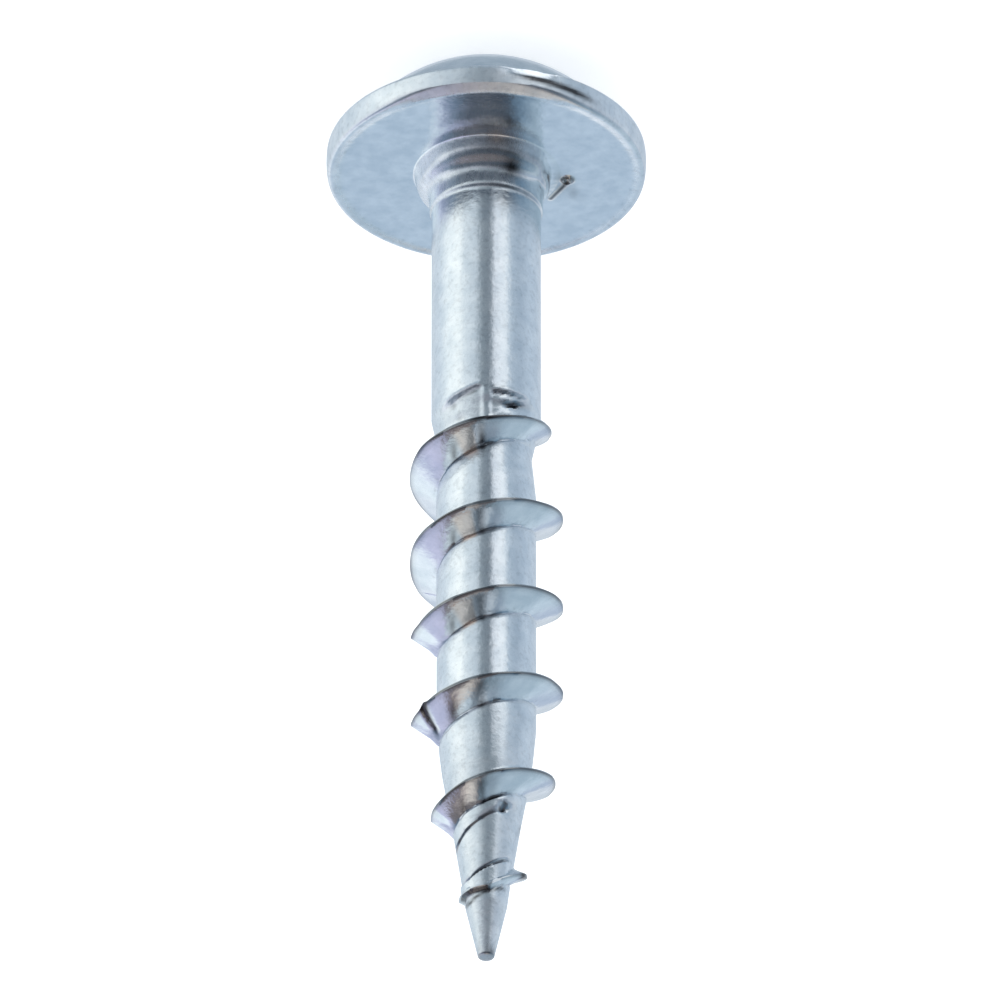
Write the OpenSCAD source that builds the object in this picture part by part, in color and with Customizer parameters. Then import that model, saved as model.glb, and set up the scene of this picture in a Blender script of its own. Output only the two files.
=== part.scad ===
// Pocket hole screw: a steel wood screw with a domed washer head, a square drive recess,
// a plain shank under the head, a coarse right-hand thread and a notched point.
// It is one cold-formed and thread-rolled piece. It stands on the flat of its head with the
// point up, because it would roll if it lay. Everything is in millimetres, and heights inside
// the modules are counted from the flat underside of the washer, toward the point.

/* [Head] */
// diameter over the washer
washer_d = 8.84; // [8:0.02:10]
// thickness of the washer at its edge
washer_t = 0.75; // [0.6:0.05:1]
// radius that rounds the washer's edge on both sides
washer_edge_r = 0.18; // [0.1:0.02:0.28]
// radius of the ball that the dome is part of
dome_r = 4.45; // [4.2:0.05:5]
// height that the ball would reach over the washer if it had no flat
dome_h = 2.35; // [2.2:0.05:2.6]
// diameter of the flat that the punch leaves round the recess
land_d = 4.6; // [4.5:0.05:4.9]

/* [Drive] */
// width across the flats of the square recess
drive_w = 2.85; // [2.3:0.05:2.95]
// depth of the square walls from the flat of the head
drive_depth = 1.9; // [1.5:0.05:2.1]
// height of the cone that closes the bottom of the recess
drive_cone_h = 0.35; // [0.2:0.05:0.5]
// how much wider the mouth is than the corners of the square, on each side
drive_lead = 0.08; // [0.04:0.02:0.12]

/* [Shank] */
// length from the underside of the washer to the point
screw_length = 25.7; // [22:0.1:32]
// diameter of the plain shank
shank_d = 3.02; // [2.8:0.02:3.3]
// diameter of the collar where it meets the washer
collar_d = 4.06; // [3.9:0.02:4.6]
// diameter of the collar at its shoulder
collar_top_d = 3.52; // [3.36:0.02:3.8]
// height of the collar's shoulder over the washer
collar_h = 0.6; // [0.4:0.05:0.8]
// height of the round that joins the shoulder to the swell
collar_taper_h = 0.32; // [0.2:0.02:0.5]
// diameter of the swell that the collar leaves on the shank
swell_d = 3.14; // [3.02:0.02:3.3]
// height of the swell, with the short taper that ends it
swell_h = 0.45; // [0.3:0.05:0.8]
// distance from the washer to where the plain shank ends
shank_length = 8.1; // [6:0.1:9]

/* [Thread] */
// distance between two turns, 9 to the inch
pitch = 2.822; // [2.4:0.02:3.2]
// distance between two turns on the point, where the die stretches them
point_pitch = 3.02; // [2.8:0.02:3.2]
// outside diameter over the crests
thread_d = 4.22; // [4:0.02:4.6]
// diameter of the core between the turns
core_d = 2.75; // [2.5:0.02:2.8]
// diameter of the neck where the first turn has drawn metal from the core
neck_d = 2.5; // [2.4:0.02:2.5]
// axial length over which the shank drops to the neck, and the neck rises to the core
neck_length = 1.3; // [1:0.1:1.6]
// distance from the washer to where the first turn leaves the shank
thread_start = 7.4; // [6:0.1:7.8]
// axial length over which the first turn grows to its full height
thread_grow = 2.3; // [1.5:0.1:3]
// width of the flat on the crest
crest_w = 0.1; // [0.06:0.02:0.2]
// slope of each flank from a square cut through the axis, in degrees
flank_angle = 27; // [20:1:32]

/* [Point] */
// length of the tapered point of the core
point_length = 7.2; // [6:0.1:8]
// length of the tapered point of the crests
crest_point_length = 6.6; // [6:0.1:7.4]
// diameter that the taper of the crests would have at the very end
crest_end_d = 0.8; // [0.6:0.05:1]
// diameter of the blunt end
end_d = 0.42; // [0.2:0.02:0.5]
// length of the end with no thread
bare_end = 0.9; // [0.5:0.1:1.2]
// how fast the last turn sinks into the point, in millimetres for each millimetre
sink_rate = 0.35; // [0.3:0.05:0.6]

/* [Cutting notch] */
// length of the notch from the end to where its bottom starts to rise
notch_length = 10.3; // [9:0.1:11]
// distance of the notch's bottom from the axis
notch_core_r = 0.3; // [0.25:0.05:0.9]
// radius of the cutter, which shapes how the notch runs out
cutter_r = 2.4; // [2.2:0.1:4]
// opening angle of the notch
notch_angle = 90; // [80:2:100]
// direction of the notch about the axis, from +X toward +Y
notch_turn = 28; // [0:1:359]

/* [Hidden] */
steps = 36;
slack = 0.01;
// how deep the turn's foot lies in the core, and its two ends under the surface
root_sink = 0.2;
end_sink = 0.05;
edge_d = washer_d - 2 * washer_edge_r;
dome_z = dome_r - washer_t - dome_h;
head_h = sqrt(dome_r * dome_r - land_d * land_d / 4) - dome_z;
drive_mouth_r = drive_w / sqrt(2) + drive_lead;
swell_end = collar_h + collar_taper_h + swell_h;
core_start = shank_length + 2 * neck_length;
point_start = screw_length - point_length;
crest_start = screw_length - crest_point_length;
thread_end = screw_length - bare_end;
// the crest of the first turn faces -Y at this distance from the washer
first_crest = thread_start + 1.85;

// radius of the core at a distance z from the washer
function core_r(z) =
    z < shank_length ? shank_d / 2 :
    z < shank_length + neck_length ?
        mix(shank_d, neck_d, (z - shank_length) / neck_length) / 2 :
    z < core_start ? mix(neck_d, core_d, (z - shank_length - neck_length) / neck_length) / 2 :
    z < point_start ? core_d / 2 :
    mix(core_d, end_d, (z - point_start) / point_length) / 2;

// radius over the crest at a distance z from the washer
function crest_r(z) =
    z < thread_start + thread_grow ?
        mix(shank_d - 2 * end_sink, thread_d, (z - thread_start) / thread_grow) / 2 :
    z < crest_start ? thread_d / 2 :
    min(
        mix(thread_d, crest_end_d, (z - crest_start) / crest_point_length) / 2,
        core_r(z) - end_sink + sink_rate * (thread_end - z)
    );

function mix(a, b, t) = a + (b - a) * t;

// one section through the turn at a distance z, as four points in a half plane
function section(z) =
    let (
        r0 = core_r(z) - root_sink * min(1, core_r(z)),
        r1 = max(crest_r(z), r0 + slack),
        half = crest_w / 2 + (r1 - r0) * tan(flank_angle)
    )
    [[r0, -half], [r1, -crest_w / 2], [r1, crest_w / 2], [r0, half]];

// number of turns that the thread has made at a distance z from the washer
function turns_at(z) =
    (min(z, crest_start) - first_crest) / pitch + max(0, z - crest_start) / point_pitch;

function on_turn(p, z) =
    let (a = 360 * turns_at(z) - 90)
    [p[0] * cos(a), p[0] * sin(a), z + p[1]];

screw();

// the screw with the flat of its head on the ground
module screw() {
    color([0.78, 0.81, 0.85])
    translate([0, 0, head_h])
    difference() {
        union() {
            blank();
            thread();
        }
        drive_recess();
        cutting_notch();
    }
}

// the turned shape of the whole screw without its thread
module blank() {
    rotate(180 / steps)
    rotate_extrude($fn = 96)
    half_outline();
}

module half_outline() {
    intersection() {
        union() {
            // dome
            difference() {
                translate([0, dome_z])
                circle(r = dome_r, $fn = 96);
                translate([-dome_r, slack - washer_t])
                square([2 * dome_r, 2 * dome_r]);
            }
            // washer
            translate([0, -washer_t])
            square([edge_d / 2, washer_t]);
            translate([0, washer_edge_r - washer_t])
            square([washer_d / 2, washer_t - 2 * washer_edge_r]);
            translate([edge_d / 2, -washer_edge_r])
            circle(r = washer_edge_r, $fn = 24);
            translate([edge_d / 2, washer_edge_r - washer_t])
            circle(r = washer_edge_r, $fn = 24);
            // collar, shank, neck, core and point
            polygon([
                [0, -slack],
                [collar_d / 2, -slack],
                [collar_d / 2, 0],
                [collar_top_d / 2, collar_h],
                [swell_d / 2, collar_h + collar_taper_h],
                [swell_d / 2, swell_end - (swell_d - shank_d) / 2],
                [shank_d / 2, swell_end],
                [shank_d / 2, shank_length],
                [neck_d / 2, shank_length + neck_length],
                [core_d / 2, core_start],
                [core_d / 2, point_start],
                [end_d / 2, screw_length],
                [0, screw_length]
            ]);
        }
        translate([0, -head_h])
        square([washer_d, head_h + screw_length + slack]);
    }
}

// one continuous turn, from where it leaves the shank to the bare end
module thread() {
    count = ceil((thread_end - thread_start) / pitch * steps);
    places = [for (i = [0 : count]) thread_start + i * pitch / steps];
    points = [for (z = places) each [for (p = section(z)) on_turn(p, z)]];
    sides = [
        for (i = [0 : count - 1])
        for (k = [0 : 3])
        [4 * i + k, 4 * i + (k + 1) % 4, 4 * (i + 1) + (k + 1) % 4, 4 * (i + 1) + k]
    ];
    triangles = [for (f = sides) each [[f[0], f[1], f[2]], [f[0], f[2], f[3]]]];
    ends = [[3, 2, 1, 0], [4 * count, 4 * count + 1, 4 * count + 2, 4 * count + 3]];
    polyhedron(points, concat(triangles, ends), convexity = 12);
}

// square recess with a lead-in at its mouth and a cone at its bottom
module drive_recess() {
    translate([-drive_w / 2, -drive_w / 2, -head_h - 1])
    cube([drive_w, drive_w, drive_depth + 1]);
    translate([0, 0, drive_depth - head_h - slack])
    cylinder(h = drive_cone_h, r1 = drive_w / 2 - slack, r2 = 0.1, $fn = 48);
    translate([0, 0, -head_h - 1])
    cylinder(h = 1 + drive_lead, r1 = drive_mouth_r + 1, r2 = drive_mouth_r - drive_lead, $fn = 48);
}

// groove that a round cutter leaves along the point, straight until the cutter lifts out
module cutting_notch() {
    depth = thread_d / 2 - notch_core_r + crest_w;
    spread = depth * tan(notch_angle / 2);
    rotate(notch_turn)
    translate([notch_core_r, 0, screw_length - notch_length]) {
        linear_extrude(height = notch_length + 1)
        polygon([[0, 0], [depth, -spread], [depth, spread]]);
        translate([cutter_r, 0, 0])
        rotate([90, 0, 0])
        rotate_extrude($fn = 64)
        polygon([
            [0, spread],
            [cutter_r - depth, spread],
            [cutter_r, 0],
            [cutter_r - depth, -spread],
            [0, -spread]
        ]);
    }
}
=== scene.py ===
import math
import bpy
import bmesh
import numpy as np
from mathutils import Matrix, Vector


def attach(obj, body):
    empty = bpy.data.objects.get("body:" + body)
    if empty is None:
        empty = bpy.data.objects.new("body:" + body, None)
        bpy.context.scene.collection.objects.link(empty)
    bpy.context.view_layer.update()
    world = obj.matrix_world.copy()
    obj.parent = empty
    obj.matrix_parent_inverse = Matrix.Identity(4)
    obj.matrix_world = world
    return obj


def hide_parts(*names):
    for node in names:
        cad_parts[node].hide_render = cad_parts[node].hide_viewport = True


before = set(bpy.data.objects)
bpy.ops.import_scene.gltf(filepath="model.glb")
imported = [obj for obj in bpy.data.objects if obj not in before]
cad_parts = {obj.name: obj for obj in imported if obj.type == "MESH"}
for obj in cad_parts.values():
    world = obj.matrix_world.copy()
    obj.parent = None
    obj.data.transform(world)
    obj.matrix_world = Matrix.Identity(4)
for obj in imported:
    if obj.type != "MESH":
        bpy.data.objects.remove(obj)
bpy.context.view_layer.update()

# Head: a cold-formed steel button on a thin round washer, all one piece with the shank.
# The punch leaves a narrow flat round the square recess, and the screw stands on it here.
# Heights are in millimetres from the flat underside of the washer, toward the point.
columns = 220
ball_r = 4.45
ball_z = 1.35
land_r = 2.3
head_h = math.sqrt(ball_r ** 2 - land_r ** 2) - ball_z
washer_t = 0.75
underside_z = 0.004
foot_r = 2.8
dome_rings = 19
first_part = 0.3

head_outline = [(r, -head_h) for r in (0.7, 1.3, 1.8, 2.12, 2.26)]
land_angle = math.asin(land_r / ball_r)
foot_angle = math.acos((ball_z + washer_t) / ball_r)
for k in range(dome_rings):
    a = land_angle + (foot_angle - land_angle) * (k + first_part) / (dome_rings - 1 + first_part)
    head_outline.append((ball_r * math.sin(a), ball_z - ball_r * math.cos(a)))
# the washer's upper corner, its nearly square rim, and the low lip round its flat underside
head_outline += [
    (3.96, -0.752), (4.1, -0.752), (4.22, -0.751), (4.31, -0.747), (4.355, -0.735), (4.383, -0.71),
    (4.398, -0.675), (4.406, -0.63), (4.411, -0.57), (4.414, -0.5), (4.416, -0.42), (4.416, -0.35),
    (4.414, -0.28), (4.411, -0.21), (4.406, -0.14), (4.397, -0.075), (4.382, -0.02), (4.358, 0.025),
    (4.32, 0.05), (4.27, 0.057), (4.21, 0.048), (4.14, 0.03), (4.07, 0.014), (4.0, 0.005), (3.9, 0.002),
    (3.7, 0.002), (3.4, 0.003), (3.1, underside_z), (foot_r, underside_z)
]
head_outline += [(foot_r - 0.035 * k, underside_z) for k in range(1, 23)]

# Collar and plain shank: a rounded foot under the washer, a shoulder, a short swell and the
# drawn wire itself, which the rolling dies have left smooth with fine lines along it.
shank_r = 1.51
swell_end = 1.5
thread_base = 6.5
shank_outline = [
    (2.02, 0.008), (1.99, 0.025), (1.98, 0.06), (1.972, 0.12), (1.96, 0.18), (1.948, 0.25),
    (1.932, 0.32), (1.912, 0.39), (1.885, 0.45), (1.85, 0.505), (1.805, 0.555), (1.75, 0.6),
    (1.695, 0.645), (1.65, 0.695), (1.615, 0.755), (1.59, 0.825), (1.575, 0.9), (1.569, 0.98),
    (1.568, 1.08), (1.568, 1.2), (1.565, 1.28), (1.55, 1.32), (1.525, 1.35), (1.512, 1.4)
]
shank_outline += [(shank_r, swell_end + 0.25 * k) for k in range(20)]

# Thread: one coarse right-hand turn rolled up out of the core, thin at its crest. It grows
# out of the shank, gets longer steps on the point, and sinks in just before the bare end.
shank_end = 8.1
neck_r = 1.25
neck_length = 1.3
core_start_r = 1.375
point_start = 18.2
screw_length = 25.7
cap_start = 25.42
end_r = 0.243
pitch = 2.822
point_pitch = 3.02
first_crest = 9.25
thread_start = 7.4
thread_full = 9.7
thread_end = 24.8
crest_start = 19.1
outer_r = 2.11
crest_end_r = 0.4
end_sink = 0.05
sink_rate = 0.35
crest_half_w = 0.05
root_round = 0.07
last_rise = 0.15
flank = math.tan(math.radians(27))


def core_r(height_z):
    places = [0, shank_end, shank_end + neck_length, shank_end + 2 * neck_length]
    radii = [shank_r, shank_r, neck_r, core_start_r]
    places += [point_start, 19.2, 19.8, 21.3, 23.2, 23.9, cap_start]
    radii += [core_start_r, 1.285, 1.215, 0.955, 0.665, 0.575, end_r]
    return np.interp(height_z, places, radii)


def crest_r(height_z):
    grow = np.interp(height_z, [thread_start, thread_full], [shank_r - end_sink, outer_r])
    taper = np.interp(height_z, [crest_start, screw_length], [outer_r, crest_end_r])
    sink = core_r(height_z) - end_sink + sink_rate * (thread_end - height_z)
    r = np.where(height_z < crest_start, grow, np.minimum(taper, sink))
    return np.where((height_z < thread_start) | (height_z > thread_end), 0.0, r)


def crest_at(turns):
    height_z = first_crest + turns * pitch
    stretched = np.maximum(0, height_z - crest_start) * point_pitch / pitch
    return np.minimum(height_z, crest_start) + stretched


def smooth_max(a, b, k):
    h = np.clip(k - np.abs(a - b), 0, None) / k
    return np.maximum(a, b) + h * h * k / 4


def soft_step(x, lo, hi):
    t = np.clip((x - lo) / (hi - lo), 0, 1)
    return t * t * (3 - 2 * t)


def span(x, rise_lo, rise_hi, fall_lo, fall_hi):
    return soft_step(x, rise_lo, rise_hi) * (1 - soft_step(x, fall_lo, fall_hi))


def near(x, centre, width, power=2):
    return np.exp(-((x - centre) / width) ** power)


# points lie in columns beside the crest, closer together where the section bends: ahead is
# toward the point and behind is toward the head
ahead = [0.02, 0.045, 0.08, 0.14, 0.21, 0.28, 0.34, 0.385, 0.415, 0.445, 0.48, 0.53, 0.62]
behind = ahead + [0.7, 0.78, 0.87, 0.97, 1.08, 1.19, 1.3]
ahead += [0.74, 0.82, 0.86, 0.9, 0.94, 0.98, 1.03, 1.22]
half_pitch = pitch / 2
first_t = -2 * columns
last_t = int(7.4 * columns)
turn = np.arange(first_t, last_t + 1)[:, None] / columns
plain_ahead = np.linspace(0, half_pitch, len(ahead) + 2)[None, 1:-1]
plain_behind = [0.02, 0.06] + list(np.linspace(0.06, half_pitch, len(behind))[1:-1])
close_behind = [0.02, 0.05] + list(np.linspace(0.09, 0.72, len(behind) - 4)) + [0.9, 1.15]
early = 1 - soft_step(turn, -0.75, -0.4)
ahead_rows = np.array(ahead)[None, :] * (1 - early) + plain_ahead * early
early = 1 - soft_step(turn, 0.3, 0.7)
behind_rows = np.array(behind)[None, :] * (1 - early) + np.array(plain_behind)[None, :] * early
late = soft_step(turn, 4.4, 4.7)
behind_rows = behind_rows * (1 - late) + np.array(close_behind)[None, :] * late
edge_row = np.full(turn.shape, -half_pitch)
rows = np.hstack([edge_row, -behind_rows[:, ::-1], turn * 0, ahead_rows])
row_count = rows.shape[1]
crest_z = crest_at(turn) + np.zeros((1, row_count))
level = crest_at(turn + rows / pitch)

# the last turn stops climbing on the point's front left and runs level into the notch
level_off_z = 23.62
most_bend = 0.72
whole_within = 0.3
bend = np.maximum(0, crest_at(turn) - level_off_z - 0.5 * np.clip(turn - 5, 0, 0.3))
bend = np.minimum(bend, most_bend) * (turn > 4.5) * (1 - soft_step(turn, 5.3, 5.75))
fading = np.clip((np.abs(rows) - whole_within) / (half_pitch - whole_within), 0, 1)
level = level - bend * (1 - fading)
crest_z = crest_z - bend

# z is a point's height, d its distance from the crest along the axis, phi its angle in degrees
# from the front toward the picture's right, and loop the number of its turn, counted from 0
z = np.clip(level, thread_base, cap_start)
d = z - crest_z
phi = -((turn + 0.5) % 1.0 - 0.5) * 360 + np.zeros((1, row_count))
loop = np.floor(turn + 0.5) + np.zeros((1, row_count))


def wavy(waves, start=0):
    return np.sin(np.radians(waves * 360 * turn + start))


# height is the radius of the crest, which a rolled thread never has quite even
wave = 0.012 * wavy(3.1) + 0.008 * wavy(7.7, 40)
half_crest = crest_half_w + 0.012 * wavy(5.3)
height = crest_r(crest_z)
low_crest = core_r(crest_z) + last_rise - 0.3 * soft_step(turn, 5.27, 5.45)
height = height - np.maximum(0, height - low_crest) * soft_step(turn, 4.77, 4.95)
height = np.where(turn > 5.0, low_crest, height)
grown = np.clip((height - core_r(crest_z)) / 0.6, 0, 1)
slant = np.maximum(0, np.sqrt(d ** 2 + 0.03 ** 2) - half_crest)
steep = flank - 0.27 * soft_step(turn, 4.84, 4.98)
ridge = height + wave * grown - slant / steep
core = core_r(z)
radius = smooth_max(core, ridge, root_round)
root = half_crest + (height - core) * steep
radius = radius - 0.035 * grown * near(d, root + 0.015, 0.035) * (d > 0)


# a mark lies along a line at some height, and is strongest at one angle
def mark(line, width, centre, spread):
    return near(z, line, width) * near(phi, centre, spread)


# shaping marks where the dies begin to bite on the shank
bite_line = 7.9 - 0.0078 * (phi + 7)
on_left = span(phi, -62, -44, -8, -2)
on_right = span(phi, 2, 8, 44, 58)
on_shank = z < 8.9
radius = radius + 0.028 * near(z, bite_line - 0.07, 0.06) * on_left * on_shank
radius = radius - 0.038 * soft_step(z, bite_line, bite_line + 0.07) * on_left * on_shank
radius = radius + 0.02 * near(z, 7.95, 0.07) * on_right
radius = radius - 0.035 * soft_step(z, 8.0, 8.09) * on_right * on_shank
gouge_line = 8.43 - 0.0043 * (phi - 16)
radius = radius - 0.14 * mark(gouge_line, 0.065, 31, 11)
radius = radius - 0.02 * mark(8.4, 0.14, 4, 10)
radius = radius + 0.05 * mark(8.72 - 0.0066 * (phi - 17), 0.06, 38, 24)
radius = radius - 0.025 * mark(8.35, 0.12, -38, 7)
radius = radius - 0.02 * mark(8.75, 0.1, -34, 8)
scratch_line = 8.13 - 0.001 * (phi - 10)
along_scratch = span(phi, 4, 10, 38, 46)
radius = radius - 0.03 * near(z, scratch_line, 0.04) * along_scratch

# the fifth turn has drawn a second low step behind it, with a torn pit beside its root
step_line = 21.5 - 0.0096 * phi
beside = span(phi, -84, -72, 38, 60) * (loop == 4)
step_edge = 1 - soft_step(z, step_line - 0.015, step_line + 0.035)
radius = radius + 0.05 * soft_step(d, 0.36, 0.44) * step_edge * beside
radius = radius - 0.06 * near(d, 0.43, 0.04) * near(phi, 12, 20) * (loop == 4)
radius = radius - 0.13 * mark(21.24, 0.09, 27, 8)

# the last turn is low, with a wide shoulder toward the head that ends in a deep folded line
fold_line = 22.98 + 0.0069 * (9 - np.maximum(phi, -38)) + 0.0012 * np.maximum(0, -38 - phi)
shoulder_at = span(phi, -95, -70, 40, 66) * (loop == 5)
reach = soft_step(z, fold_line, fold_line + 0.07) * (1 - soft_step(d, 0.0, 0.08))
radius = radius + np.maximum(0, core + 0.1 - radius) * reach * shoulder_at
radius = radius - 0.06 * near(z, fold_line - 0.02, 0.045) * shoulder_at

# the notch's cutter has pushed the edges of the turns over, and torn the fourth one
flap = span(-phi, 60, 74, 110, 125) * grown * ((loop == 2) | (loop == 3) | (loop == 4))
tear_line = -55 - 15 * np.clip((height - radius) / 0.75, 0, 1)
tear = near(phi, tear_line, 3.2) * (loop == 3) * (d > -0.06) * (d < 0.5) * grown
on_turn = soft_step(radius - core, 0.02, 0.2)
z = z - (0.07 * flap + 0.08 * tear) * on_turn * soft_step(d, -0.3, 0)

# darker places, mixed toward bare grey: a thin line along the crest and the marks on the shank,
# and painted shade and painted dark reflections on the lit flank, the pit, the step, the folded lines on
# the point, the hook's tip and the tear
bare_and_painted_shade = 0.85 * near(d - 0.01, 0, 0.055) * grown
bare_and_painted_shade = bare_and_painted_shade + 1.4 * mark(gouge_line - 0.02, 0.075, 31, 13)
# painted dark reflection just behind the first turn's crest at its front
bare_and_painted_shade = bare_and_painted_shade + near(d, -0.03, 0.08) * near(phi, 3, 13) * (loop == 0)
bare_and_painted_shade = bare_and_painted_shade + 0.6 * near(z, scratch_line, 0.028) * along_scratch
bare_and_painted_shade = bare_and_painted_shade + 0.35 * near(z, 7.92, 0.025) * span(phi, -6, 0, 22, 30)
bare_and_painted_shade = bare_and_painted_shade + 0.6 * near(z, 8.1 - 0.004 * (phi + 15), 0.035) * span(phi, -38, -28, -8, -2)
bare_and_painted_shade = bare_and_painted_shade + 0.45 * mark(8.33, 0.1, -39, 3.5)
bare_and_painted_shade = bare_and_painted_shade + 0.3 * mark(8.75, 0.08, -33, 4)
lit_flank = span(d, 0.06, 0.14, 0.5, 0.6) * grown
# painted dark reflections: dark blotches on the lit flank of the first five turns
flank_shade = near(phi, -37 + 6 * np.sin(9 * d), 5) * near(d, 0.34, 0.14)
flank_shades = 0.7 * flank_shade + 0.6 * near(phi, -5, 5) + 0.3 * near(phi, 7, 8)
bare_and_painted_shade = bare_and_painted_shade + lit_flank * flank_shades * (loop < 5)
# painted dark reflection on the first turn's lit flank at its front
bare_and_painted_shade = bare_and_painted_shade + 0.35 * near(d, 0.34, 0.1) * near(phi, -4, 6) * (loop == 0)
# painted shade in the pit and along the dip beside the fifth turn's root
bare_and_painted_shade = bare_and_painted_shade + 1.3 * mark(21.26, 0.07, 27, 6)
bare_and_painted_shade = bare_and_painted_shade + near(d, 0.44, 0.035) * near(phi, 14, 17) * (loop == 4)
# painted shadow along the edge of the fifth turn's step
bare_and_painted_shade = bare_and_painted_shade + 0.7 * near(z, step_line + 0.02, 0.03) * beside
# painted shade in the folded line and along a lower dark line on the last turn
bare_and_painted_shade = bare_and_painted_shade + near(z, fold_line - 0.005, 0.07) * shoulder_at * (0.6 + 0.8 * near(phi, -24, 22))
lower_shade_line = 23.76 - 0.0044 * np.clip(phi, -48, 45)
bare_and_painted_shade = bare_and_painted_shade + 0.9 * near(z, lower_shade_line, 0.055) * shoulder_at
# painted shade on the last turn's flank just ahead of its crest
crest_shade = span(d, 0.02, 0.05, 0.12, 0.16) * (1 - soft_step(phi, -2, 16))
bare_and_painted_shade = bare_and_painted_shade + 0.75 * crest_shade * shoulder_at
# painted shade: a black spot at the tip of the hook where the last turn bends
bare_and_painted_shade = bare_and_painted_shade + 1.6 * near(turn, 4.774, 0.03) * soft_step(radius, 0.88, 1.02)
# painted shade inside the tear
bare_and_painted_shade = np.clip(bare_and_painted_shade + 1.6 * tear * on_turn, 0, 1)
# straw tint on the lit flank of the first three turns, partly a stain in the plating and partly a painted
# warm reflection
warm_stain_and_reflection = lit_flank * span(phi, -33, -25, -14, -9) * (loop < 3)
plain_wear = 0.3
worn = plain_wear * (1 - on_turn)

shape_x = -radius * np.sin(np.radians(phi))
shape_y = -radius * np.cos(np.radians(phi))

# the whole surface is one closed skin of rings, with the thread's strip between two of them
verts = []
faces = []
bare_and_painted_shade_at = {}
warm_stain_and_reflection_at = {}
worn_at = {}
spin = [math.radians(-90 + 360 * j / columns) for j in range(columns)]


def add_ring(r, height_z):
    start = len(verts)
    for a in spin:
        verts.append((r * math.cos(a), r * math.sin(a), height_z))
    return [start + j for j in range(columns)]


def add_band(lower, upper):
    for j in range(columns):
        n = (j + 1) % columns
        faces.append((lower[j], lower[n], upper[n], upper[j]))


verts.append((0, 0, -head_h))
ring = add_ring(*head_outline[0])
for j in range(columns):
    faces.append((0, ring[(j + 1) % columns], ring[j]))
for r, height_z in head_outline[1:] + shank_outline:
    nxt = add_ring(r, height_z)
    add_band(ring, nxt)
    ring = nxt
base_ring = add_ring(shank_r, thread_base)
add_band(ring, base_ring)
top_ring = add_ring(float(core_r(cap_start)), cap_start)

# the points of the strip get their numbers, and past its two ends they are those of the plain
# rings; each turn's last row then joins the first row of the turn after it
rounding = 1e-9
ids = np.zeros(z.shape, dtype=int)
for ti in range(z.shape[0]):
    j = (ti + first_t) % columns
    for i in range(row_count):
        if z[ti, i] <= thread_base + rounding:
            ids[ti, i] = base_ring[j]
        elif z[ti, i] >= cap_start - rounding:
            ids[ti, i] = top_ring[j]
        else:
            ids[ti, i] = len(verts)
            bare_and_painted_shade_at[len(verts)] = float(bare_and_painted_shade[ti, i])
            warm_stain_and_reflection_at[len(verts)] = float(warm_stain_and_reflection[ti, i])
            worn_at[len(verts)] = float(worn[ti, i])
            verts.append((shape_x[ti, i], shape_y[ti, i], z[ti, i]))
for ti in range(z.shape[0] - 1 - columns):
    for i in range(row_count):
        if i + 1 < row_count:
            quad = [ids[ti, i], ids[ti + 1, i], ids[ti + 1, i + 1], ids[ti, i + 1]]
        else:
            quad = [ids[ti, i], ids[ti + 1, i], ids[ti + 1 + columns, 0], ids[ti + columns, 0]]
        face = [int(v) for n, v in enumerate(quad) if v != quad[n - 1]]
        if len(set(face)) >= 3:
            faces.append(tuple(face))

# Bare end: the blunt end of the point past the last turn, rubbed round at its edge. It has a
# small flat that the plating has left grey.
flat_z = 25.53
end_rings = [(0.238, 25.45), (0.23, 25.48), (0.215, 25.503), (0.19, 25.517)]
end_rings += [(0.14, 25.525), (0.07, 25.528)]
end_ring = top_ring
for r, height_z in end_rings:
    nxt = add_ring(r, height_z)
    add_band(end_ring, nxt)
    end_ring = nxt
tip = len(verts)
verts.append((0, 0, flat_z))
for j in range(columns):
    faces.append((end_ring[j], end_ring[(j + 1) % columns], tip))


# Wear and painted shade: the rim is pressed in and dented at the right, with a painted dark streak along
# the dent, and rubbed off at the front, the collar is lumpy, has a narrower foot on the right, painted
# shade in patches and a painted warm reflection at its foot, and a tool has raised a curl beside it. side
# is a point's angle in degrees from the front toward the picture's right.
rim_from_r = 3.99
washer_top_z = -0.752
pressed_foot_r = 4.27
pressed_slope = 0.455
bevel_foot_r = 4.12
bevel_slope = 0.554
collar_end = 1.4
end_from = 25.2
scrape_right = 2.2
scrape_front = -0.45
scrape_run = (-0.42, -0.75)
scrape_length_squared = 0.74
curl_right = 2.24
curl_front = -0.26
curl_r = 0.12


def wear_and_shade_rim(v, side):
    x, y, height_z = verts[v]
    off_axis = math.hypot(x, y)
    pressed = near(side, 17, 9, 4)
    pressed_r = min(off_axis, pressed_foot_r + pressed_slope * (height_z - washer_top_z))
    smaller = 1 + (pressed_r / off_axis - 1) * pressed
    rubbed = near(side, -2, 33, 4)
    rubbed_z = min(height_z, -bevel_slope * (off_axis - bevel_foot_r))
    verts[v] = (x * smaller, y * smaller, height_z + (rubbed_z - height_z) * rubbed)
    worn_at[v] = min(1.0, (off_axis - rim_from_r) / 0.2) * (1 - 0.9 * pressed * (height_z < -0.4))
    # painted shade: a dark streak along the dent below the pressed facet
    dent_shade_line = -0.44 + 0.0062 * (side - 11)
    bare_and_painted_shade_at[v] = min(1.0, 1.3 * near(side, 26, 15, 4) * near(height_z, dent_shade_line, 0.1))


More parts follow.
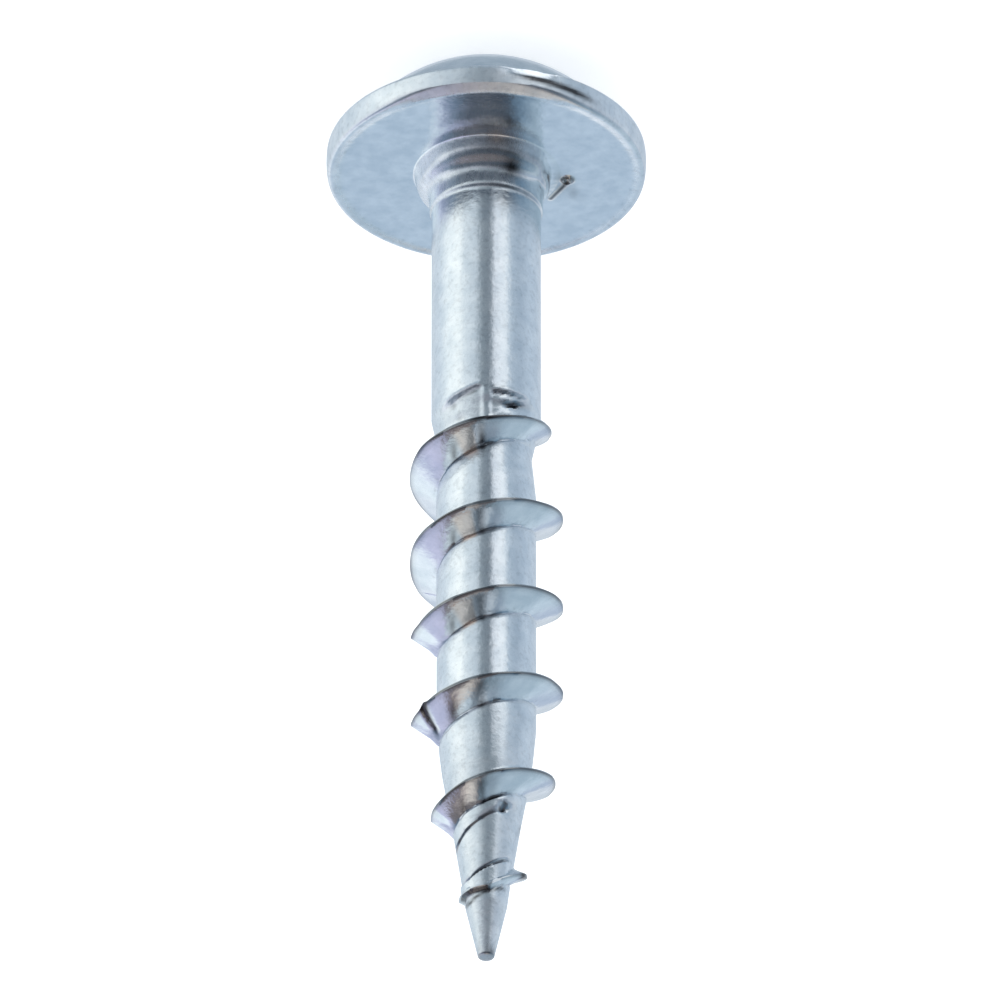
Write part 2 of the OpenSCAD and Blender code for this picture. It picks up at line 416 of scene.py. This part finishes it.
def shape_collar(v, side):
    x, y, height_z = verts[v]
    low_lumps = math.sin(math.radians(3 * side + 120)) + 0.6 * math.sin(math.radians(7 * side))
    high_lumps = math.sin(math.radians(4 * side - 40)) + 0.5 * math.sin(math.radians(9 * side + 70))
    swell = 1 + 0.009 * low_lumps * near(height_z, 0.34, 0.2)
    swell = swell + 0.009 * high_lumps * near(height_z, 0.72, 0.2)
    narrow = span(side, 48, 72, 110, 150) * (1 - soft_step(height_z, 0.45, 0.85))
    swell = swell - 0.09 * narrow
    verts[v] = (x * swell, y * swell, height_z)
    worn_at[v] = 0.75 - 0.6 * soft_step(side, 25, 50) * (side < 130)
    # painted warm reflection on the collar's foot at the front
    warm_stain_and_reflection_at[v] = near(side, 8, 8) * near(height_z, 0.12, 0.15)


# painted shade: dark patches on the collar's shoulder, middle and right side, and a dark line where it
# meets the shank
def shade_collar(v, side, height_z):
    dark = 0.95 * near(side, 25, 10) * near(height_z, 0.76, 0.24)
    dark = dark + 0.4 * near(side, 10, 22, 4) * near(height_z, 0.35, 0.25)
    dark = dark + 0.25 * near(side, 60, 30, 4) * near(height_z, 0.4, 0.3)
    dark = dark + 0.4 * near(side, 35, 32, 4) * near(height_z, 1.34, 0.08)
    bare_and_painted_shade_at[v] = min(1.0, dark)


def wear_end(v, side, height_z):
    dark = 0.15 + 0.3 * soft_step(height_z, 25.44, 25.5)
    bare_and_painted_shade_at[v] = dark + 0.5 * near(side, 35, 30) * near(height_z, 25.43, 0.06)
    worn_at[v] = 1.0


# right and front are a point's distances from the axis, as the photograph shows them
def raise_curl(v, right, front):
    x, y, height_z = verts[v]
    from_right = right - scrape_right
    from_front = front - scrape_front
    along_scrape = (from_right * scrape_run[0] + from_front * scrape_run[1]) / scrape_length_squared
    along_scrape = np.clip(along_scrape, 0, 1)
    off_right = from_right - scrape_run[0] * along_scrape
    off_front = from_front - scrape_run[1] * along_scrape
    off_scrape = math.hypot(off_right, off_front)
    off_curl = abs(math.hypot(right - curl_right, front - curl_front) - curl_r)
    raised_by = 0.04 * near(off_scrape, 0, 0.07) + 0.08 * near(off_curl, 0, 0.06)
    verts[v] = (x, y, height_z + raised_by)
    dark = 0.8 * near(off_scrape, 0, 0.08) + 0.75 * near(off_curl, 0.04, 0.05)
    dark = dark + 0.3 * near(right, 1.95, 0.12) * near(front, -0.1, 0.2)
    dark = dark + 0.22 * near(right, 2.05, 0.35) * near(front, -0.5, 0.5)
    dark = dark + 0.25 * near(right, 2.42, 0.15) * near(front, -0.95, 0.3)
    bare_and_painted_shade_at[v] = min(1.0, dark)


# each zone of the surface gets its own wear and painted shade
for v in range(len(verts)):
    x, y, height_z = verts[v]
    side = math.degrees(math.atan2(-x, -y))
    if math.hypot(x, y) > rim_from_r and height_z > -0.8:
        wear_and_shade_rim(v, side)
    elif abs(height_z) < 0.02 and 1.4 < -x < 2.9:
        raise_curl(v, -x, -y)
    elif 0.01 < height_z < collar_end:
        shape_collar(v, side)
    elif collar_end <= height_z <= thread_base:
        worn_at[v] = plain_wear
    elif height_z > end_from:
        wear_end(v, side, height_z)
    if 0.3 < height_z < 1.45:
        shade_collar(v, side, height_z)

mesh = bpy.data.meshes.new("pocket_hole_screw")
lift = Vector((0, 0, head_h))
mesh.from_pydata([(Vector(v) + lift) / 1000 for v in verts], [], faces)
mesh.validate()
for name, shares in (("bare_steel_and_painted_shade", bare_and_painted_shade_at), ("straw_stain_and_reflection", warm_stain_and_reflection_at), ("tumbled", worn_at)):
    shares_here = mesh.attributes.new(name, "FLOAT", "POINT")
    shares_here.data.foreach_set("value", [shares.get(v, 0.0) for v in range(len(verts))])
screw = bpy.data.objects.new("pocket_hole_screw", mesh)
bpy.context.collection.objects.link(screw)

# Square recess and cutting notch: the recess is punched with a short lead-in and a coned
# bottom. The notch is milled along the point by a round cutter that lifts out at its end.
drive_w = 2.85
drive_depth = 1.9
drive_cone_h = 0.34
drive_cone_r = 0.1
lead_in = 0.08
slack = 0.01
beyond = 1
notch_core_r = 0.3
notch_length = 10.3
notch_turn = math.radians(28)
notch_top = 27
cutter_r = 2.4
lift_steps = 30
notch_depth = outer_r - notch_core_r + 0.1
crease_angle = math.radians(34)


def solid(name, points, sides):
    shape = bpy.data.meshes.new(name)
    shape.from_pydata([(Vector(p) + lift) / 1000 for p in points], [], sides)
    piece = bpy.data.objects.new(name, shape)
    bpy.context.collection.objects.link(piece)
    turned_out = bmesh.new()
    turned_out.from_mesh(shape)
    bmesh.ops.recalc_face_normals(turned_out, faces=turned_out.faces)
    turned_out.to_mesh(shape)
    turned_out.free()
    return piece


def lofted(name, sections):
    count = len(sections[0])
    points = [p for s in sections for p in s]
    sides = []
    for k in range(len(sections) - 1):
        for n in range(count):
            m = (n + 1) % count
            sides.append((k * count + n, k * count + m, (k + 1) * count + m, (k + 1) * count + n))
    sides.append(tuple(range(count)))
    sides.append(tuple(range((len(sections) - 1) * count, len(sections) * count)))
    return solid(name, points, sides)


def square_section(half, height_z):
    return [(sx * half, sy * half, height_z) for sx, sy in ((-1, -1), (1, -1), (1, 1), (-1, 1))]


def round_section(r, height_z, sides=48):
    angles = [math.tau * k / sides for k in range(sides)]
    return [(r * math.cos(a), r * math.sin(a), height_z) for a in angles]


half_w = drive_w / 2
floor_z = drive_depth - head_h
mouth_r = drive_w / math.sqrt(2) + lead_in
socket = lofted("socket", [square_section(half_w, -head_h - beyond), square_section(half_w, floor_z)])
socket_floor = lofted("socket_floor", [
    round_section(half_w - slack, floor_z - slack),
    round_section(drive_cone_r, floor_z + drive_cone_h)
])
socket_mouth = lofted("socket_mouth", [
    round_section(mouth_r + beyond, -head_h - beyond),
    round_section(mouth_r - lead_in, -head_h + lead_in)
])

along = Vector((math.cos(notch_turn), math.sin(notch_turn), 0))
across = Vector((-math.sin(notch_turn), math.cos(notch_turn), 0))
up = Vector((0, 0, 1))
run_out = screw_length - notch_length
open_side = along * (notch_core_r + notch_depth)
notch_sections = [[
    along * notch_core_r + up * notch_top,
    open_side - across * notch_depth + up * notch_top,
    open_side + across * notch_depth + up * notch_top
]]
for k in range(lift_steps + 1):
    lifted = math.radians(90 * k / lift_steps)
    ray = -along * math.cos(lifted) - up * math.sin(lifted)
    hub = along * (notch_core_r + cutter_r) + up * run_out
    shallow = hub + ray * (cutter_r - notch_depth)
    edges = [shallow - across * notch_depth, shallow + across * notch_depth]
    notch_sections.append([hub + ray * cutter_r] + edges)
notch = lofted("notch", notch_sections)

for cutter in (notch, socket, socket_floor, socket_mouth):
    cut = screw.modifiers.new("cut", "BOOLEAN")
    cut.operation = "DIFFERENCE"
    cut.solver = "EXACT"
    cut.object = cutter
    bpy.context.view_layer.objects.active = screw
    bpy.ops.object.modifier_apply(modifier="cut")
    bpy.data.objects.remove(cutter)
mesh = screw.data
for p in mesh.polygons:
    p.use_smooth = True
mesh.set_sharp_from_angle(angle=crease_angle)

# Zinc plating: a bright bluish coat a few thousandths of a millimetre thick over the bare
# steel. It shows fine lines along the shank, faint clouds and small dull spots.
bare_and_shade_grey = (0.075, 0.074, 0.078)
straw_and_reflection_colour = (0.86, 0.74, 0.66)
fine_relief = 0.00002


def add_node(tree, kind, values, sources):
    n = tree.nodes.new(kind)
    for name, value in values.items():
        n.inputs[name].default_value = value
    for name, source in sources.items():
        tree.links.new(source, n.inputs[name])
    return n


def number(tree, operation, *values, clamp=False):
    n = tree.nodes.new("ShaderNodeMath")
    n.operation = operation
    n.use_clamp = clamp
    for k, v in enumerate(values):
        if isinstance(v, (int, float)):
            n.inputs[k].default_value = v
        else:
            tree.links.new(v, n.inputs[k])
    return n.outputs["Value"]


def colours(tree, value, stops):
    n = add_node(tree, "ShaderNodeValToRGB", {}, {"Fac": value})
    ramp = n.color_ramp
    while len(ramp.elements) < len(stops):
        ramp.elements.new(0.5)
    for e, (place_at, colour) in zip(ramp.elements, stops):
        e.position = place_at
        e.color = (*colour, 1)
    return n.outputs["Color"]


def blend(tree, fac, a, b):
    n = tree.nodes.new("ShaderNodeMix")
    n.data_type = "RGBA"
    tree.links.new(fac, n.inputs["Factor"])
    for socket_name, v in (("A", a), ("B", b)):
        socket_in = [s for s in n.inputs if s.name == socket_name and s.type == "RGBA"][0]
        if isinstance(v, tuple):
            socket_in.default_value = (*v, 1)
        else:
            tree.links.new(v, socket_in)
    return [s for s in n.outputs if s.type == "RGBA"][0]


zinc = bpy.data.materials.new("zinc_plated_steel")
zinc.use_nodes = True
coating = zinc.node_tree
coat = coating.nodes["Principled BSDF"]
coat.inputs["Metallic"].default_value = 1.0


def noise(vector, scale, detail):
    values = {"Scale": scale, "Detail": detail}
    return add_node(coating, "ShaderNodeTexNoise", values, {"Vector": vector}).outputs["Fac"]


def share_of_point(name):
    n = coating.nodes.new("ShaderNodeAttribute")
    n.attribute_name = name
    return n.outputs["Fac"]


def in_range(value, limits):
    return add_node(coating, "ShaderNodeMapRange", limits, {"Value": value}).outputs["Result"]


place = coating.nodes.new("ShaderNodeTexCoord").outputs["Object"]
along_shank = {"Scale": (8000, 8000, 1500)}
lengthwise = add_node(coating, "ShaderNodeMapping", along_shank, {"Vector": place})
streaks = noise(lengthwise.outputs["Vector"], 1.0, 3.0)
clouds = noise(place, 2300.0, 6.0)
grain = noise(place, 7500.0, 4.0)
bare_steel_and_painted_shade = share_of_point("bare_steel_and_painted_shade")
straw_stain_and_reflection = share_of_point("straw_stain_and_reflection")
tumbled = share_of_point("tumbled")

# colour: clouded zinc, the straw tint that is partly a stain and partly a painted warm reflection, and bare
# grey in small pits, bare places and painted shade
cloudy = colours(coating, clouds, [(0.35, (0.7, 0.755, 0.805)), (0.68, (0.845, 0.882, 0.915))])
stain_and_warm_reflection = blend(coating, straw_stain_and_reflection, cloudy, straw_and_reflection_colour)
pits = in_range(grain, {"From Min": 0.5, "From Max": 0.72, "To Max": 0.7})
seldom = number(coating, "MINIMUM", tumbled, 0.22)
mottled_and_shaded = number(coating, "MULTIPLY_ADD", pits, seldom, bare_steel_and_painted_shade, clamp=True)
scuffed_and_shaded = blend(coating, mottled_and_shaded, stain_and_warm_reflection, bare_and_shade_grey)
coating.links.new(scuffed_and_shaded, coat.inputs["Base Color"])

# gloss: bright, a little rougher along the streaks and where the screws have tumbled together
sheen = in_range(streaks, {"To Min": 0.08, "To Max": 0.22})
rough = number(coating, "ADD", sheen, number(coating, "MULTIPLY", tumbled, 0.16))
coating.links.new(rough, coat.inputs["Roughness"])
pitted = add_node(coating, "ShaderNodeBump", {"Strength": 0.26, "Distance": fine_relief}, {"Height": grain})
streaky = add_node(coating, "ShaderNodeBump", {"Strength": 0.1, "Distance": fine_relief}, {
    "Height": streaks,
    "Normal": pitted.outputs["Normal"]
})
coating.links.new(streaky.outputs["Normal"], coat.inputs["Normal"])
mesh.materials.clear()
mesh.materials.append(zinc)
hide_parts("screw")
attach(screw, "root")

# Floor: a plain pale sheet under the screw. It stays white to the camera and keeps the
# shadow, and the metal sees the studio round it instead.
sheet = bpy.data.meshes.new("floor")
sheet.from_pydata([(-1, -1, 0), (1, -1, 0), (1, 1, 0), (-1, 1, 0)], [], [(0, 1, 2, 3)])
floor = bpy.data.objects.new("floor", sheet)
bpy.context.collection.objects.link(floor)
paper = bpy.data.materials.new("pale_paper")
paper.use_nodes = True
pulp = paper.node_tree
pulp.nodes.clear()
white = add_node(pulp, "ShaderNodeBsdfDiffuse", {"Color": (0.86, 0.87, 0.88, 1)}, {})
glow = add_node(pulp, "ShaderNodeEmission", {"Strength": 0.56}, {})
none = add_node(pulp, "ShaderNodeEmission", {"Strength": 0.0}, {})
seen = pulp.nodes.new("ShaderNodeLightPath")
pick = add_node(pulp, "ShaderNodeMixShader", {}, {"Fac": seen.outputs["Is Camera Ray"]})
pulp.links.new(none.outputs["Emission"], pick.inputs[1])
pulp.links.new(glow.outputs["Emission"], pick.inputs[2])
both = pulp.nodes.new("ShaderNodeAddShader")
pulp.links.new(white.outputs["BSDF"], both.inputs[0])
pulp.links.new(pick.outputs["Shader"], both.inputs[1])
add_node(pulp, "ShaderNodeOutputMaterial", {}, {"Surface": both.outputs["Shader"]})
sheet.materials.append(paper)
floor.visible_glossy = False

# Studio: a white tent with soft lights and dark gaps, which the plating mirrors. Its colours
# go by direction: upright bands low down, and a bluish roof that is dark on the near side.
world = bpy.data.worlds.new("studio")
bpy.context.scene.world = world
world.use_nodes = True
tent = world.node_tree
tent.nodes.clear()
toward = tent.nodes.new("ShaderNodeTexCoord").outputs["Generated"]
parts = add_node(tent, "ShaderNodeSeparateXYZ", {}, {"Vector": toward})
to_left = parts.outputs["X"]
to_back = parts.outputs["Y"]
upward = parts.outputs["Z"]
to_right = number(tent, "MULTIPLY", to_left, -1)
to_front = number(tent, "MULTIPLY", to_back, -1)
round_about = number(tent, "ARCTAN2", to_right, to_front)
turned = number(tent, "ADD", number(tent, "DIVIDE", round_about, math.tau), 0.5)


# stops are in degrees from the front toward the picture's right
def bands(stops):
    return colours(tent, turned, [(0.5 + degrees / 360, colour) for degrees, colour in stops])


def between(value, lo, hi):
    limits = {"From Min": lo, "From Max": hi}
    n = add_node(tent, "ShaderNodeMapRange", limits, {"Value": value})
    n.interpolation_type = "SMOOTHSTEP"
    return n.outputs["Result"]


low_bands = bands([
    (-180, (0.64, 0.71, 0.79)),
    (-112, (0.75, 0.84, 0.91)),
    (-88, (1.05, 1.12, 1.13)),
    (-60, (1.15, 1.2, 1.18)),
    (-48, (0.82, 0.9, 0.94)),
    (-22, (0.68, 0.76, 0.82)),
    (-10, (0.26, 0.31, 0.35)),
    (10, (0.2, 0.24, 0.28)),
    (17, (0.9, 0.95, 1.01)),
    (42, (1.03, 1.08, 1.11)),
    (53, (0.5, 0.6, 0.7)),
    (75, (0.43, 0.52, 0.62)),
    (105, (0.56, 0.66, 0.77)),
    (180, (0.64, 0.71, 0.79))
])
point_bands = bands([
    (-180, (0.68, 0.74, 0.8)),
    (-102, (0.78, 0.86, 0.9)),
    (-70, (0.98, 1.03, 1.03)),
    (-35, (0.82, 0.89, 0.92)),
    (-14, (0.46, 0.52, 0.56)),
    (0, (0.26, 0.31, 0.35)),
    (24, (0.25, 0.3, 0.34)),
    (36, (0.66, 0.72, 0.78)),
    (66, (0.52, 0.59, 0.67)),
    (110, (0.66, 0.73, 0.8)),
    (180, (0.68, 0.74, 0.8))
])
cone_bands = bands([
    (-180, (0.85, 0.9, 0.96)),
    (-110, (0.82, 0.87, 0.95)),
    (-75, (0.9, 0.95, 0.98)),
    (-52, (0.5, 0.55, 0.6)),
    (-25, (0.32, 0.36, 0.41)),
    (20, (0.28, 0.31, 0.34)),
    (48, (0.4, 0.44, 0.5)),
    (75, (0.6, 0.64, 0.72)),
    (120, (0.75, 0.8, 0.86)),
    (180, (0.85, 0.9, 0.96))
])
collar_bands = bands([
    (-180, (0.52, 0.6, 0.74)),
    (-150, (0.8, 0.86, 0.94)),
    (-110, (0.92, 0.96, 1.02)),
    (-60, (0.95, 0.99, 1.02)),
    (-30, (0.5, 0.52, 0.58)),
    (0, (0.3, 0.31, 0.35)),
    (30, (0.24, 0.26, 0.3)),
    (60, (0.28, 0.34, 0.42)),
    (100, (0.42, 0.52, 0.64)),
    (180, (0.52, 0.6, 0.74))
])
eye_bands = bands([
    (-180, (0.95, 1.0, 1.05)),
    (-100, (0.85, 0.9, 1.0)),
    (-72, (0.8, 0.84, 0.92)),
    (-50, (0.22, 0.26, 0.33)),
    (-25, (0.1, 0.12, 0.15)),
    (5, (0.08, 0.09, 0.11)),
    (20, (0.07, 0.07, 0.08)),
    (50, (0.06, 0.07, 0.08)),
    (66, (0.3, 0.38, 0.46)),
    (100, (0.5, 0.6, 0.68)),
    (150, (0.6, 0.72, 0.82)),
    (180, (0.95, 1.0, 1.05))
])
roof_bands = bands([
    (-180, (0.5, 0.62, 0.75)),
    (-160, (0.52, 0.64, 0.77)),
    (-146, (0.95, 1.04, 1.08)),
    (-125, (0.98, 1.05, 1.12)),
    (-113, (0.64, 0.66, 0.86)),
    (-100, (0.36, 0.4, 0.54)),
    (-75, (0.17, 0.25, 0.34)),
    (-45, (0.08, 0.1, 0.13)),
    (45, (0.07, 0.09, 0.12)),
    (75, (0.18, 0.29, 0.4)),
    (118, (0.45, 0.56, 0.65)),
    (150, (0.46, 0.58, 0.67)),
    (180, (0.5, 0.62, 0.75))
])
rightward = number(tent, "ADD", number(tent, "MULTIPLY", to_left, -0.5), 0.5)
zenith = colours(tent, rightward, [
    (0.23, (0.66, 0.67, 0.88)),
    (0.39, (0.6, 0.6, 0.78)),
    (0.42, (0.2, 0.17, 0.2)),
    (0.45, (0.22, 0.18, 0.18)),
    (0.48, (0.62, 0.54, 0.5)),
    (0.55, (0.86, 0.78, 0.7)),
    (0.61, (0.6, 0.54, 0.5)),
    (0.65, (0.16, 0.18, 0.21)),
    (0.7, (0.24, 0.32, 0.38)),
    (0.76, (0.42, 0.53, 0.62))
])
studio = low_bands
for lo, hi, layer in (
    (-0.44, -0.28, point_bands),
    (-0.21, -0.12, cone_bands),
    (-0.12, -0.06, collar_bands),
    (0.08, 0.24, eye_bands),
    (0.34, 0.47, roof_bands),
    (0.78, 0.92, zenith)
):
    studio = blend(tent, between(upward, lo, hi), studio, layer)

# a dark screen high at the front, a grey ground below, and a small bright card near it
screen = number(tent, "MULTIPLY", between(to_front, 0.03, 0.16), between(upward, 0.72, 0.86))
studio = blend(tent, screen, studio, (0.18, 0.16, 0.165))
studio = blend(tent, between(upward, -0.7, -0.86), studio, (0.38, 0.46, 0.54))
off_card = tent.nodes.new("ShaderNodeVectorMath")
off_card.operation = "DISTANCE"
off_card.inputs[1].default_value = (-0.28, -0.06, -0.958)
tent.links.new(toward, off_card.inputs[0])
studio = blend(tent, between(off_card.outputs["Value"], 0.22, 0.12), studio, (1.35, 1.4, 1.45))

rays = tent.nodes.new("ShaderNodeLightPath")
for_light = (0.86, 0.9, 0.94)
for_camera = (1.0, 1.0, 1.0)
shown = blend(tent, rays.outputs["Is Glossy Ray"], for_light, studio)
shown = blend(tent, rays.outputs["Is Camera Ray"], shown, for_camera)
sky = add_node(tent, "ShaderNodeBackground", {}, {"Color": shown})
add_node(tent, "ShaderNodeOutputWorld", {}, {"Surface": sky.outputs["Background"]})

# Lamp: one wide soft box above the screw gives the floor its faint shadow.
box = bpy.data.lights.new("soft_box", "AREA")
box.shape = "SQUARE"
box.size = 0.6
box.energy = 0.35
lamp = bpy.data.objects.new("soft_box", box)
bpy.context.collection.objects.link(lamp)
lamp.location = (0.15, -0.1, 0.5)
lamp.rotation_euler = (-lamp.location).to_track_quat("-Z", "Y").to_euler()
lamp.visible_glossy = False

# Camera: far off with a long lens, looking down past the point at the underside of the
# washer. The photograph has the head at the top, so the camera is held upside down.
view_angle = math.radians(57.3)
distance = 1.1
picture_width = 0.0275
sensor = 36
up_shank = 0.0107
right_of_axis = 0.000393
below_washer = 0.009011
toward_camera = Vector((0, -math.sin(view_angle), math.cos(view_angle)))
picture_up = Vector((0, -math.cos(view_angle), -math.sin(view_angle)))
picture_right = Vector((-1, 0, 0))
aim = Vector((0, 0, up_shank + head_h / 1000)) + picture_right * right_of_axis
aim = aim - picture_up * (below_washer - up_shank * math.sin(view_angle))
eye = bpy.data.cameras.new("camera")
eye.sensor_width = sensor
eye.lens = sensor * distance / picture_width
eye.clip_start = 0.1
eye.clip_end = 10
camera = bpy.data.objects.new("camera", eye)
bpy.context.collection.objects.link(camera)
turned_to = Matrix((picture_right, picture_up, toward_camera)).transposed()
camera.matrix_world = Matrix.Translation(aim + toward_camera * distance) @ turned_to.to_4x4()
bpy.context.scene.camera = camera
bpy.context.scene.view_settings.view_transform = "Standard"
